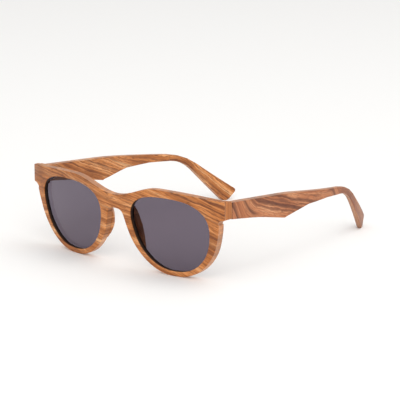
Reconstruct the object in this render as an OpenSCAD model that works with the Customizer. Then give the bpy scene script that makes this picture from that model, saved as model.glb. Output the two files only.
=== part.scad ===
// Wooden sunglasses: a wrapped, leaning front of laminated wood with two tinted
// lenses, and two bent wooden temples on sprung hinges. Millimetres, +Z up. The
// front faces -Y, the temples run to +Y, and +X is the wearer's left. The origin
// is on the table, under the middle of the open glasses.

/* [Front] */
// Thickness of the front, square to its face
front_t = 4.5; // [4:0.1:5.5]
// Radius of the front's wrap around the face
wrap_r = 268; // [220:1:400]
// Lean of the front, top forwards, in degrees
tilt = 8.3; // [5:0.1:11]
// Width of wood above each lens opening
brow_w = 4.15; // [3.5:0.05:6]
// Width of wood below each lens opening
rim_low_w = 2.85; // [2.5:0.05:4]
// Width of wood beside each lens opening
rim_side_w = 4.3; // [3.6:0.1:5.5]
// Distance of each brow crest from the middle
crest_x = 30; // [26:0.5:34]
// Radius of the brow line from its crest out to the end piece
brow_r = 340; // [250:5:600]
// Reach of each end piece past the widest part of its lens opening
end_reach = 9.8; // [9.5:0.1:13]
// Height of each end piece
end_h = 10; // [9.6:0.1:11]
// Depth of each end piece, from its front face back to the temple
end_depth = 6.9; // [6.5:0.1:9]
// Angle at which each end piece's face is dressed upright, in degrees
dress_angle = 24; // [20:1:30]

/* [Bridge] */
// Gap between the two lens openings at mid height
lens_gap = 24; // [20:0.5:28]
// Height of the top of the nose arch above the table
arch_h = 33.3; // [30:0.1:35]
// Width of the nose arch
arch_w = 11.5; // [10:0.1:13]
// Depth of wood over the nose arch
bridge_w = 7.9; // [6:0.1:10]
// Depth of each nose pad behind the front, at its lens side
pad_depth = 5.8; // [2:0.1:7]
// Length of each nose pad up the rim
pad_len = 21.5; // [15:0.5:25]
// Height of the middle of each nose pad above the table
pad_z = 23; // [19:0.5:25]
// Splay of each nose pad's face, from the front's back face, in degrees
pad_splay = 47; // [35:1:55]
// Lean of each nose pad along the rim, in degrees
pad_lean = 18; // [12:1:22]

/* [Lenses] */
// Width of each lens opening at mid height
opening_w = 48.2; // [44:0.2:54]
// Height of each lens opening
opening_h = 41.2; // [38:0.2:45]
// Squareness of the upper half of an opening, where 2 is an ellipse
upper_square = 2.55; // [2:0.05:3.2]
// Squareness of the lower half of an opening, where 2 is an ellipse
lower_square = 2.3; // [2:0.05:3]
// Share by which an opening is wider at its top than at mid height
opening_flare = 0.166; // [0.05:0.005:0.22]
// Depth of the lens behind the front face
lens_set = 2.5; // [2:0.1:2.6]
// Thickness of each lens
lens_t = 1.8; // [1.4:0.1:1.9]
// Width of the ledge that each lens sits on
ledge_w = 0.85; // [0.6:0.05:1.1]

/* [Temples] */
// Thickness of each temple
temple_t = 4.6; // [4:0.1:5.2]
// Height of each temple at its hinge end
root_h = 9.1; // [8.9:0.1:9.4]
// Step from the top of the end piece down to the top of the temple
root_step = 1.2; // [0.8:0.05:1.4]
// Distance from the hinge end to the middle of the arched lower edge
sweep_at = 22.9; // [18:0.1:28]
// Drop of the arched lower edge there
sweep_drop = 3.2; // [2.5:0.1:3.4]
// Distance from the hinge end to the step corner below the temple
step_at = 45.6; // [42:0.1:48]
// Drop of the step corner below the hinge end's lower edge
step_drop = 8.05; // [7:0.05:9]
// Distance from the hinge end to the crest of the lower edge behind the step
neck_at = 66.7; // [64:0.1:70]
// Drop of that crest, before it is rounded off
neck_drop = 2.8; // [2.2:0.1:3.6]
// Distance from the hinge end to the slight turn of the top edge
top_turn_at = 50.9; // [40:0.1:60]
// Drop of the top edge at that turn
top_turn_drop = 4.05; // [3.5:0.05:4.6]
// Distance from the hinge end to the ear bend
bend_at = 111.9; // [106:0.1:120]
// Drop of the lower edge at the ear bend
bend_drop = 6.75; // [6.2:0.05:7.5]
// Drop of the top edge at the ear bend
bend_top_drop = 12.25; // [11.5:0.05:13]
// Run of the tip from the ear bend to its top corner
tip_run = 35; // [33:0.1:38]
// Height of the tip's top corner above the table
tip_rise = 6.1; // [5:0.1:7]
// Run of the tip from the ear bend to its heel
heel_run = 28.2; // [26.5:0.1:29.5]
// Radius of the rounded heel that stands on the table
heel_r = 3.5; // [2.5:0.1:4]
// Length of each temple that runs straight before it curves in
straight_len = 60.9; // [50:0.1:70]
// Radius of each temple's inward curve, at its outer face
curve_r = 196; // [180:1:300]
// Thinning of each temple where its inner face starts to curve
thin = 0.6; // [0.3:0.05:0.8]

/* [Hinges] */
// Radius of the hinge knuckles
knuckle_r = 1.2; // [1.1:0.05:1.3]
// Height of each of the two front knuckles
knuckle_h = 1.3; // [1.2:0.05:1.8]
// Height of the slider's eye, between the knuckles
eye_h = 1.3; // [1.2:0.05:1.8]
// Radius of the pivot screw
pivot_r = 0.55; // [0.45:0.05:0.65]
// Thickness of the leaf on the front
leaf_t = 1; // [0.8:0.1:1.2]
// Radius of the slider's shank
shank_r = 0.5; // [0.4:0.05:0.6]
// Radius of the wire of the hinge spring
wire_r = 0.18; // [0.14:0.01:0.2]
// Turns of the hinge spring
spring_turns = 4; // [3:1:8]
// Pitch of the hinge spring
spring_pitch = 0.9; // [0.85:0.01:1.1]
// Radius of the small fixing screws
screw_r = 0.45; // [0.4:0.05:0.55]

/* [Hidden] */
$fn = 96;
// Sides of the widest rounds, which only show as long shallow arcs
wide_fn = 720;

// Clearances
glue_gap = 0.05;
run_gap = 0.03;
side_gap = 0.05;
butt_gap = 0.15;
swing_gap = 0.3;

// Length that lets a cut pass well clear of the faces it opens
past = 20;
// Number of points round a lens or rim outline
round_steps = 72;
// Turn of each short line along a rounded corner, in degrees
arc_step = 6;

// Lens openings: a half width and half height about a centre on each side
opening_rx = opening_w / 2;
opening_rz = opening_h / 2;
lens_x = lens_gap / 2 + opening_rx;
lens_z = rim_low_w + opening_rz;
// Inward lean of an opening's upright axis
opening_lean = -0.04;
lens_clear = glue_gap;

// Outer outline of the rims, which stands on the table
rim_over = 2.45;
rim_rx = opening_rx + rim_side_w;
rim_rz = opening_rz + rim_over;
rim_upper_square = 3.2;
rim_flare = opening_flare + 0.065;
rim_lean = opening_lean + 0.01;

// Brow, bridge and end pieces
brow_h = lens_z + opening_rz + brow_w;
bridge_h = arch_h + bridge_w;
end_x = lens_x + opening_rx + end_reach;
end_top = brow_z(end_x);
end_low = end_top - end_h;
arch_rz = 4.85;
arch_square = 2.8;

// Temple planes: the outer face is flush with the end piece
temple_in_x = end_x - temple_t;
root_top = end_top - root_step;
root_low = root_top - root_h;
butt_y = front_y(end_x, (end_top + end_low) / 2) + end_depth;
root_y = butt_y + butt_gap;
tip_r = 1.8;
sweep_r = 150;
step_r = 0.8;
neck_r = 118;
top_turn_r = 300;
bend_r = 25;
bend_top_r = 42;
// The inner face's curve is tighter and starts later, so the tip is thinner
inner_tighter = 16;
inner_later = 5.5;

// Hinge: the pin stands inside the temple, just behind the butt joint
pin_x = temple_in_x - knuckle_r - swing_gap;
pin_y = butt_y + 0.6;
pin_drop = 0.4;
pin_z = root_low + root_h / 2 - pin_drop;
eye_z = pin_z - eye_h / 2;
stack_h = eye_h + 2 * knuckle_h + 2 * side_gap;

// Spring housing: a box about the slider's shank, let into the temple
bore_r = 1.25;
housing_wall = 0.85;
housing_half = bore_r + housing_wall;
housing_h = 3.8;
housing_y = pin_y + knuckle_r + 1;
housing_end_t = 0.7;
bore_y = housing_y + housing_end_t;
spring_y = bore_y + side_gap;
spring_len = spring_turns * spring_pitch + 2 * wire_r;
collar_t = 0.8;
collar_y = spring_y + spring_len + side_gap;
shank_end = collar_y + collar_t;
bore_len = shank_end + side_gap - bore_y;
housing_len = 2 * housing_end_t + bore_len;
let_in = pin_x + housing_half - temple_in_x;

// Leaf on the front: a plate behind the end piece that clears the swinging housing
leaf_back = pin_y - housing_half - swing_gap;
leaf_seat = leaf_back - leaf_t;
leaf_in_x = pin_x - 3.3;
leaf_h = stack_h + 3.7;
leaf_screw_x = pin_x - 1.5;
leaf_screw_z = stack_h / 2 + 0.9;
block_in_x = leaf_in_x - 0.6;
block_h = end_h - root_step / 2;
screw_head_r = screw_r + 0.4;
screw_head_t = 0.5;
screw_len = 3.5;
ear_len = 2 * screw_head_r + 0.3;
ear_h = 2 * screw_head_r + 0.1;
ear_lift = 0.5;

// Spring coil
spring_r = shank_r + run_gap + 0.14 + wire_r;
wire_sides = 6;
rings_per_turn = 10;

// Middle of the open glasses from front to back
front_face_y = min([for (x = [0 : 2 : crest_x]) front_y(x, brow_z(x))]);
temple_points = rounded(temple_corners(heel_lift(0, 8)));
mid_y = (front_face_y + max([for (p = temple_points) p[0]])) / 2;

// Depth of the wrap at a distance from the middle
function wrap_y(x) = wrap_r - sqrt(wrap_r * wrap_r - x * x);

// Place of the front face at a point of its outline
function front_y(x, z) = wrap_y(x) / cos(tilt) - z * tan(tilt);

// Height of the brow line: a wave down to the bridge, then a long arc to the end
function brow_z(x) = abs(x) < crest_x
    ? bridge_h + (brow_h - bridge_h) * (1 - cos(180 * x / crest_x)) / 2
    : brow_h - (abs(x) - crest_x) * (abs(x) - crest_x) / (2 * brow_r);

// A flared, leaning superellipse with its own squareness above and below
function lens_loop(cx, cz, rx, rz, upper, lower, flare, lean) = [
    for (i = [0 : round_steps - 1])
        let (
            a = 360 * i / round_steps,
            n = sin(a) >= 0 ? upper : lower,
            u = sign(cos(a)) * pow(abs(cos(a)), 2 / n),
            v = sign(sin(a)) * pow(abs(sin(a)), 2 / n)
        )
        [cx + rx * u * (1 + flare * v) + lean * rz * v, cz + rz * v]
];

function unit(v) = v / norm(v);
function min_z(points) = min([for (p = points) p[1]]);

// Points of one corner of an outline, rounded to its radius
function corner(before, at, after, r) =
    let (
        u = unit(before - at),
        v = unit(after - at),
        half = acos(u * v) / 2,
        c = at + unit(u + v) * r / sin(half),
        from = at + u * r / tan(half) - c,
        side = sign(u[0] * v[1] - u[1] * v[0]),
        turn = -side * (180 - 2 * half),
        start = atan2(from[1], from[0]),
        steps = max(1, ceil(abs(turn) / arc_step))
    )
    [for (i = [0 : steps]) let (a = start + turn * i / steps) c + r * [cos(a), sin(a)]];

// An outline from corners, each a place and the radius that rounds it
function rounded(corners) = [
    for (i = [0 : len(corners) - 1])
        let (
            k = len(corners),
            before = corners[(i + k - 1) % k],
            at = corners[i],
            after = corners[(i + 1) % k],
            place = [at[0], at[1]]
        )
        each at[2] == 0 ? [place]
            : corner([before[0], before[1]], place, [after[0], after[1]], at[2])
];

// Lift that sets the rounded heel of a temple on the table, found in a few passes
function heel_lift(lift, passes) = passes == 0 ? lift
    : heel_lift(lift - min_z(rounded(temple_corners(lift))), passes - 1);

// Side outline of a temple, with its heel raised by a lift
function temple_corners(lift) = [
    [root_y, root_low, 0],
    [root_y + sweep_at, root_low - sweep_drop, sweep_r],
    [root_y + step_at, root_low - step_drop, step_r],
    [root_y + neck_at, root_low - neck_drop, neck_r],
    [root_y + bend_at, root_low - bend_drop, bend_r],
    [root_y + bend_at + heel_run, lift, heel_r],
    [root_y + bend_at + tip_run, tip_rise, tip_r],
    [root_y + bend_at, root_top - bend_top_drop, bend_top_r],
    [root_y + top_turn_at, root_top - top_turn_drop, top_turn_r],
    [root_y, root_top, 0]
];

// Everything stands with the middle of the open glasses over the origin
module stand() {
    translate([0, -mid_y, 0]) children();
}

// A piece of the wearer's left side as it is, or mirrored to the right
module on_side(left) {
    if (left) children();
    else mirror([1, 0, 0]) children();
}

// A flat outline seen from the front, run from front to back through the part
module through_front() {
    translate([0, 3 * past, 0])
        rotate([90, 0, 0])
            linear_extrude(4 * past) children();
}

// Everything behind the front face, at a depth square to the face
module behind(depth) {
    rotate([tilt, 0, 0])
        translate([0, wrap_r, -past])
            cylinder(r = wrap_r - depth, h = brow_h + 2 * past, $fn = wide_fn);
}

module opening_outline(grow) {
    polygon(lens_loop(lens_x, lens_z, opening_rx + grow, opening_rz + grow,
                      upper_square, lower_square, opening_flare, opening_lean));
}

module rim_outline() {
    polygon(lens_loop(lens_x, rim_rz, rim_rx, rim_rz,
                      rim_upper_square, lower_square, rim_flare, rim_lean));
}

module arch_outline() {
    polygon(lens_loop(0, arch_h - arch_rz, arch_w / 2, arch_rz,
                      arch_square, arch_square, 0, 0));
}

// Brow line, end pieces and bridge in one band, cut away under each end piece
module brow_outline() {
    waves = 12;
    runs = 8;
    half = concat(
        [for (i = [0 : waves]) crest_x * i / waves],
        [for (i = [1 : runs]) crest_x + (end_x - crest_x) * i / runs]
    );
    top = [for (x = half) [x, brow_z(x)]];
    under = [[end_x, end_low], [end_x - 6, end_low - 5.6], [0, arch_h - arch_rz]];
    polygon(concat(top, under));
}

module front_outline() {
    difference() {
        for (left = [true, false])
            on_side(left) {
                rim_outline();
                brow_outline();
            }
        arch_outline();
        for (left = [true, false])
            on_side(left) opening_outline(0);
    }
}

// Wood behind the front face that carries the hinge and meets the temple
module end_block() {
    intersection() {
        union() {
            translate([temple_in_x, -past, end_low])
                cube([temple_t, past + butt_y, block_h]);
            translate([block_in_x, -past, end_low])
                cube([temple_in_x - block_in_x, past + leaf_seat, block_h]);
        }
        behind(0);
    }
}

module lens_seat() {
    intersection() {
        through_front() opening_outline(ledge_w);
        behind(lens_set);
    }
}

// Everything in front of the upright face at the end of the front
module end_dressing() {
    translate([end_x, front_y(end_x, end_low) + glue_gap, 0])
        rotate([0, 0, dress_angle])
            translate([-past, -past, -past])
                cube([2 * past, past, brow_h + 2 * past]);
}

// Two screw places on the leaf, each pointing forwards into the wood
module at_leaf_screws() {
    for (side = [-1, 1])
        translate([leaf_screw_x, leaf_back, pin_z + side * leaf_screw_z])
            rotate([90, 0, 0]) children();
}

// Two screw places on the housing's ears, each pointing outwards into the wood
module at_housing_screws() {
    for (side = [-1, 1])
        translate([temple_in_x - ear_lift, housing_y + ear_len / 2,
                   pin_z + side * (housing_h + ear_h) / 2])
            rotate([0, 90, 0]) children();
}

// Countersunk screw from the face of its head, with a gap all round for its hole
module screw(gap) {
    cylinder(r1 = screw_head_r + gap, r2 = screw_r + gap, h = screw_head_t);
    cylinder(r = screw_r + gap, h = screw_len + gap);
}

module front_frame() {
    color("peru")
        difference() {
            union() {
                difference() {
                    intersection() {
                        through_front() front_outline();
                        behind(0);
                    }
                    behind(front_t);
                }
                for (left = [true, false])
                    on_side(left) end_block();
            }
            for (left = [true, false])
                on_side(left) {
                    lens_seat();
                    end_dressing();
                    at_leaf_screws() screw(run_gap);
                }
        }
}

module lens() {
    color([0.3, 0.28, 0.32, 0.75])
        difference() {
            intersection() {
                through_front() opening_outline(ledge_w - lens_clear);
                behind(lens_set + glue_gap);
            }
            behind(lens_set + glue_gap + lens_t);
        }
}

// A bowed, splayed strip of wood glued behind the nose side of a rim
module nose_pad() {
    edge_gap = ledge_w + 0.3;
    edge_x = lens_gap / 2 - edge_gap + (lens_z - pad_z) * tan(pad_lean);
    bow = pad_depth * cos(pad_splay);
    bow_r = (pad_len * pad_len / 4 + bow * bow) / (2 * bow);
    color("sandybrown")
        difference() {
            intersection() {
                through_front()
                    intersection() {
                        difference() {
                            rim_outline();
                            opening_outline(edge_gap);
                            arch_outline();
                        }
                        square([edge_x + pad_len / 4, 2 * pad_z]);
                    }
                behind(front_t + glue_gap);
                translate([edge_x, front_y(edge_x, pad_z) + front_t / cos(tilt) + pad_depth, pad_z])
                    rotate([tilt, 0, 0]) rotate([0, -pad_lean, 0]) rotate([0, 0, pad_splay])
                        translate([0, -bow_r, 0])
                            rotate([0, 90, 0])
                                cylinder(r = bow_r, h = 4 * past, center = true, $fn = wide_fn);
            }
            translate([-past, -past, -past])
                cube([past, 4 * past, 5 * past]);
        }
}

// Plate with two knuckles, each on an arm, for the pivot screw
module hinge_leaf() {
    color("silver")
        difference() {
            union() {
                translate([leaf_in_x, leaf_seat + glue_gap, pin_z - leaf_h / 2])
                    cube([temple_in_x - swing_gap - leaf_in_x, leaf_t - glue_gap, leaf_h]);
                for (low = [pin_z - stack_h / 2, pin_z + stack_h / 2 - knuckle_h]) {
                    translate([pin_x, pin_y, low])
                        cylinder(r = knuckle_r, h = knuckle_h);
                    translate([pin_x - knuckle_r, leaf_back - leaf_t / 2, low])
                        cube([2 * knuckle_r, pin_y - leaf_back + leaf_t / 2, knuckle_h]);
                }
            }
            translate([pin_x, pin_y, pin_z - stack_h])
                cylinder(r = pivot_r + run_gap, h = 2 * stack_h);
            at_leaf_screws() screw(run_gap);
        }
}

module leaf_screws() {
    color("gainsboro")
        at_leaf_screws() screw(0);
}

// Pivot screw with a low head over the upper knuckle
module pivot_screw() {
    head_t = 0.45;
    slot_w = 0.3;
    color("gainsboro")
        translate([pin_x, pin_y, pin_z])
            difference() {
                union() {
                    translate([0, 0, -stack_h / 2])
                        cylinder(r = pivot_r, h = stack_h + head_t);
                    translate([0, 0, stack_h / 2 + side_gap])
                        cylinder(r = knuckle_r - 0.15, h = head_t);
                }
                translate([-knuckle_r, -slot_w / 2, stack_h / 2 + side_gap + head_t / 2])
                    cube([2 * knuckle_r, slot_w, head_t]);
            }
}

// Eye on the pivot with a square neck and the shank that the spring pulls on
module hinge_slider() {
    neck_half = eye_h / 2;
    color("silver")
        difference() {
            union() {
                translate([pin_x, pin_y, eye_z])
                    cylinder(r = knuckle_r, h = eye_h);
                translate([pin_x - neck_half, pin_y, eye_z])
                    cube([eye_h, housing_y - side_gap - pin_y, eye_h]);
                translate([pin_x, pin_y + knuckle_r, pin_z])
                    rotate([-90, 0, 0])
                        cylinder(r = shank_r, h = shank_end - pin_y - knuckle_r);
            }
            translate([pin_x, pin_y, eye_z - past])
                cylinder(r = pivot_r + run_gap, h = 2 * past);
        }
}

// Nut on the end of the shank that holds the spring in
module spring_collar() {
    color("gold")
        translate([pin_x, collar_y, pin_z])
            rotate([-90, 0, 0])
                difference() {
                    cylinder(r = bore_r - 0.15, h = collar_t);
                    translate([0, 0, -past])
                        cylinder(r = shank_r + run_gap, h = 2 * past);
                }
}

// One ring of the wire at a turn of the coil, square to the coil's run
function coil_ring(turn) =
    let (
        a = 360 * turn,
        out = [cos(a), 0, sin(a)],
        run = unit([-sin(a) * 2 * PI * spring_r, spring_pitch, cos(a) * 2 * PI * spring_r]),
        across = cross(run, out)
    )
    [for (k = [0 : wire_sides - 1])
        let (b = 360 * k / wire_sides)
        spring_r * out + [0, spring_pitch * turn, 0] + wire_r * (cos(b) * out + sin(b) * across)];

// Open coil round the shank, between the housing's front wall and the collar
module hinge_spring() {
    rings = spring_turns * rings_per_turn;
    points = [for (i = [0 : rings]) each coil_ring(i / rings_per_turn)];
    last = rings * wire_sides;
    sides = [for (i = [0 : rings - 1], k = [0 : wire_sides - 1])
        let (
            a = i * wire_sides + k,
            b = i * wire_sides + (k + 1) % wire_sides
        )
        each [[a, b, b + wire_sides], [a, b + wire_sides, a + wire_sides]]];
    caps = [for (k = [1 : wire_sides - 2])
        each [[0, k + 1, k], [last, last + k, last + k + 1]]];
    echo(spring_gap = spring_pitch - 2 * wire_r);
    color("darkgray")
        translate([pin_x, spring_y + wire_r, pin_z])
            polyhedron(points, concat(sides, caps));
}

// Box with a blind bore for the spring and two ears screwed to the temple
module spring_housing() {
    color("silver")
        difference() {
            union() {
                translate([pin_x - housing_half, housing_y, pin_z - housing_h / 2])
                    cube([2 * housing_half, housing_len, housing_h]);
                translate([temple_in_x - ear_lift, housing_y, pin_z - housing_h / 2 - ear_h])
                    cube([ear_lift + let_in, ear_len, housing_h + 2 * ear_h]);
            }
            translate([pin_x, bore_y, pin_z])
                rotate([-90, 0, 0]) {
                    cylinder(r = bore_r, h = bore_len);
                    translate([0, 0, -past])
                        cylinder(r = shank_r + run_gap, h = past + bore_len / 2);
                }
            at_housing_screws() screw(run_gap);
        }
}

module housing_screws() {
    color("gainsboro")
        at_housing_screws() screw(0);
}

// Plan of a temple: a straight run, then an arc that curves in and thins to the tip
module temple_plan() {
    arc_y = root_y + straight_len;
    inner_r = curve_r - inner_tighter;
    inner_y = arc_y + inner_later;
    inner_x = temple_in_x + thin;
    tall = brow_h + past;
    difference() {
        union() {
            translate([temple_in_x, root_y, -past / 2])
                cube([temple_t, straight_len, tall]);
            intersection() {
                translate([end_x - curve_r, arc_y, -past / 2])
                    cylinder(r = curve_r, h = tall, $fn = wide_fn);
                translate([0, arc_y, -past])
                    cube([end_x + past, curve_r, tall + 2 * past]);
            }
        }
        translate([inner_x - inner_r, inner_y, -past])
            cylinder(r = inner_r, h = tall + 2 * past, $fn = wide_fn);
        translate([-past, arc_y - past, -past])
            cube([past + temple_in_x, past + inner_later, tall + 2 * past]);
    }
}

// Cut into the temple's inner face for a part of the spring housing
module housing_pocket(long, tall) {
    translate([temple_in_x - past, housing_y - glue_gap, pin_z - tall / 2 - glue_gap])
        cube([past + let_in + glue_gap, long + 2 * glue_gap, tall + 2 * glue_gap]);
}

module temple() {
    color("peru")
        difference() {
            intersection() {
                temple_plan();
                rotate([90, 0, 90])
                    linear_extrude(end_x + past)
                        polygon(temple_points);
            }
            housing_pocket(housing_len, housing_h);
            housing_pocket(ear_len, housing_h + 2 * ear_h);
            at_housing_screws() screw(run_gap);
        }
}

stand() front_frame();
stand() lens();  // lens_left
stand() on_side(false) lens();  // lens_right
stand() nose_pad();  // nose_pad_left
stand() on_side(false) nose_pad();  // nose_pad_right
stand() hinge_leaf();  // hinge_leaf_left
stand() on_side(false) hinge_leaf();  // hinge_leaf_right
stand() leaf_screws();  // leaf_screws_left
stand() on_side(false) leaf_screws();  // leaf_screws_right
stand() pivot_screw();  // pivot_screw_left
stand() on_side(false) pivot_screw();  // pivot_screw_right
stand() hinge_slider();  // hinge_slider_left
stand() on_side(false) hinge_slider();  // hinge_slider_right
stand() spring_collar();  // spring_collar_left
stand() on_side(false) spring_collar();  // spring_collar_right
stand() hinge_spring();  // hinge_spring_left
stand() on_side(false) hinge_spring();  // hinge_spring_right
stand() spring_housing();  // spring_housing_left
stand() on_side(false) spring_housing();  // spring_housing_right
stand() housing_screws();  // housing_screws_left
stand() on_side(false) housing_screws();  // housing_screws_right
stand() temple();  // temple_left
stand() on_side(false) temple();  // temple_right
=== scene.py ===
"""Looks of the wooden sunglasses: a wrapped, leaning front of figured wood, two grey
tinted lenses and two bent temples on sprung steel hinges.

The wooden pieces and the lenses are modelled again here with softened edges, on the
same driving sizes as the CAD part. The metal of the hinges keeps its CAD shape, apart
from the springs, which are wound again so that they can shorten."""

import bmesh
import bpy
import numpy as np
from mathutils import Matrix, Vector
from mathutils.geometry import delaunay_2d_cdt


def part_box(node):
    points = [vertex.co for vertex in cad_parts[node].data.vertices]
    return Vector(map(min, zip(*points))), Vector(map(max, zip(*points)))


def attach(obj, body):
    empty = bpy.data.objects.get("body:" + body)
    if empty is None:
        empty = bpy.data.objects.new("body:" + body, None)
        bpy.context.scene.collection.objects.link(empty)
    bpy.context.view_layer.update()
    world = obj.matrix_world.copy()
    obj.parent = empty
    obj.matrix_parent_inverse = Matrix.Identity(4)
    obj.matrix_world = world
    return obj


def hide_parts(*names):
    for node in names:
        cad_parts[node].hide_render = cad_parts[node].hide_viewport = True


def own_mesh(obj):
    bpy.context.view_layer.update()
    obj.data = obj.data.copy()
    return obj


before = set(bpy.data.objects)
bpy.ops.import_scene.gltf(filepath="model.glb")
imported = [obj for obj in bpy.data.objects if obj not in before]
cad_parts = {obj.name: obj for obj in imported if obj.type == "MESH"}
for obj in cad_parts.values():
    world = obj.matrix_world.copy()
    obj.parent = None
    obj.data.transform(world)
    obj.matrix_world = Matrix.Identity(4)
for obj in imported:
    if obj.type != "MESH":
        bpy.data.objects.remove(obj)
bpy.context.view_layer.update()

MM = 0.001
SIDES = {"left": 1, "right": -1}


def cad_mm(node):
    """Lowest and highest corner of a CAD node, in millimetres."""
    low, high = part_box(node)
    return np.array(low) / MM, np.array(high) / MM


# Driving sizes, in millimetres and degrees. Heights are above the table.
FRONT_T = 4.5
WRAP_R = 268
TILT = np.radians(8.3)
END_DEPTH_ANGLE = np.radians(24)
CREST_X = 30
BROW_R = 340
BRIDGE_H = 41.2
ARCH_H = 33.3
ARCH_HALF = (5.75, 4.85)
ARCH_SQUARE = 2.8
END_H = 10
END_BLOCK_H = 9.4
END_HOLLOW_R = 3.0
END_HOLLOW_DROP = 0.5
LENS_MID = (36.1, 23.45)
OPENING_HALF = (24.1, 20.6)
OPENING_SQUARE = (2.55, 2.3)
OPENING_FLARE = 0.166
OPENING_LEAN = -0.04
RIM_HALF = (28.4, 23.05)
RIM_SQUARE = (3.2, 2.3)
RIM_FLARE = 0.231
RIM_LEAN = -0.03
LENS_SET = 2.5
LENS_T = 1.8
LEDGE_W = 0.85
GLUE_GAP = 0.05
BLOCK_PAST_LEAF = 0.6
PAD_LEN = 21.5
PAD_Z = 23
PAD_DEPTH = 5.8
PAD_SPLAY = np.radians(47)
PAD_LEAN = np.radians(18)
PAD_EDGE_GAP = 1.15
HOUSING_H = 3.8
EAR_LEN = 2
TEMPLE_T = 4.6
ROOT_H = 9.1
ROOT_DROP = 1.2
BEND_LEN = 111.9
STRAIGHT_LEN = 60.9
CURVE_R = 196
INNER_R = 180
INNER_LATER = 5.5
THIN = 0.6
WIRE_R = 0.18
SPRING_TURNS = 4

# Softening of the edges
EDGE_R = 0.45
CORNER_R = 0.6
BLOCK_EDGE_R = 0.315
SEAT_EDGE_R = 0.25
PAD_EDGE_R = 0.7
PAD_RIDGE_R = 0.2
FINE_R = 0.12
HINGE_EDGE_R = 0.08
# Painted shade in the joints behind the end pieces and on the nose arch walls, from none to
# black
JOINT_SHADE = 0.55
ARCH_SHADE = 0.2
# Place of the end blocks in the log, behind the front's face board
FACE_BOARD_T = 1.3
UPRIGHT_FROM = 110
BEYOND_STREAKS = 95
# Step that keeps the faces of two joined solids from lying in one plane
SEAM = 0.03

FRONT_LOW, FRONT_HIGH = cad_mm("front_frame")
END_X = FRONT_HIGH[0]
BROW_H = FRONT_HIGH[2]
BUTT_Y = FRONT_HIGH[1]
TEMPLE_Y = cad_mm("temple_left")[0][1]
TEMPLE_IN_X = END_X - TEMPLE_T


def superellipse(angle, mid, half, square, flare, lean):
    """Points of a flared, leaning superellipse, square above and below by its own powers."""
    c, s = np.cos(angle), np.sin(angle)
    power = 2 / np.where(s >= 0, square[0], square[1])
    u = np.sign(c) * np.abs(c) ** power
    v = np.sign(s) * np.abs(s) ** power
    x = mid[0] + half[0] * u * (1 + flare * v) + lean * half[1] * v
    return np.stack([x, mid[1] + half[1] * v], axis=1)


def rim_points(angle):
    """Outer outline of the left rim, along x and z."""
    return superellipse(
        angle, (LENS_MID[0], RIM_HALF[1]), RIM_HALF, RIM_SQUARE, RIM_FLARE, RIM_LEAN
    )


def opening_points(angle, grow=0.0):
    """Outline of the left lens opening, along x and z, made larger by a growth."""
    half = (OPENING_HALF[0] + grow, OPENING_HALF[1] + grow)
    return superellipse(
        angle, LENS_MID, half, OPENING_SQUARE, OPENING_FLARE, OPENING_LEAN
    )


def even_angles(count=150):
    """Angles that put points at even steps round a lens opening."""
    angle = np.linspace(0, 2 * np.pi, 3601)
    points = opening_points(angle)
    run = np.cumsum(np.linalg.norm(np.diff(points, axis=0), axis=1))
    return np.interp(np.arange(count) / count * run[-1], np.append(0, run), angle)


def brow_z(x):
    """Height of the brow line: a wave down to the bridge, then a long arc to the end."""
    x = np.abs(x)
    wave = BRIDGE_H + (BROW_H - BRIDGE_H) * (1 - np.cos(np.pi * x / CREST_X)) / 2
    return np.where(x < CREST_X, wave, BROW_H - (x - CREST_X) ** 2 / (2 * BROW_R))


def wrap_y(x, z, depth):
    """Place of the wrapped, leaning front at a depth behind its face, before it is set down."""
    round_y = WRAP_R - np.sqrt((WRAP_R - depth) ** 2 - x * x)
    return round_y / np.cos(TILT) - z * np.tan(TILT)


# The front is set down where the foremost point of its brow meets the CAD front's box
BROW_X = np.arange(0, CREST_X, 0.5)
FRONT_Y = FRONT_LOW[1] - wrap_y(BROW_X, brow_z(BROW_X), 0).min()
END_TOP = float(brow_z(END_X))
END_LOW = END_TOP - END_H


def front_y(p, depth=0.0):
    """The front's wrapped sheet at a depth behind its face, over points of x and z."""
    return FRONT_Y + wrap_y(p[:, 0], p[:, 1], depth)


def front_face_y(p):
    """Face of the front, dressed upright towards each end piece."""
    face = front_y(p)
    foot = FRONT_Y + wrap_y(END_X, END_LOW, 0) + GLUE_GAP
    upright = foot + (np.abs(p[:, 0]) - END_X) * np.tan(END_DEPTH_ANGLE)
    blend = 0.35
    gap = np.abs(face - upright)
    return np.maximum(face, upright) + np.maximum(blend - gap, 0) ** 2 / (4 * blend)


def front_back_y(p):
    """Back of the front."""
    return front_y(p, FRONT_T)


# Outlines


def rounded_corner(before, at, after, radius, step=np.radians(12)):
    """Arc that rounds one corner of an outline."""
    before, at, after = (np.array(p[:2], float) for p in (before, at, after))
    u = (before - at) / np.linalg.norm(before - at)
    v = (after - at) / np.linalg.norm(after - at)
    half = np.arccos(np.clip(u @ v, -1, 1)) / 2
    mid = (u + v) / np.linalg.norm(u + v)
    centre = at + mid * radius / np.sin(half)
    start = at + u * radius / np.tan(half) - centre
    turn = -np.sign(u[0] * v[1] - u[1] * v[0]) * (np.pi - 2 * half)
    steps = max(2, int(np.ceil(abs(turn) / step)))
    angle = np.arctan2(start[1], start[0]) + turn * np.linspace(0, 1, steps + 1)
    return centre + radius * np.stack([np.cos(angle), np.sin(angle)], axis=1)


def rounded_outline(corners):
    """Closed outline from corners, each a place and the radius that rounds it."""
    count = len(corners)
    arcs = [
        rounded_corner(corners[i - 1], corners[i], corners[(i + 1) % count], corners[i][2])
        for i in range(count)
    ]
    return np.concatenate(arcs)


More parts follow.
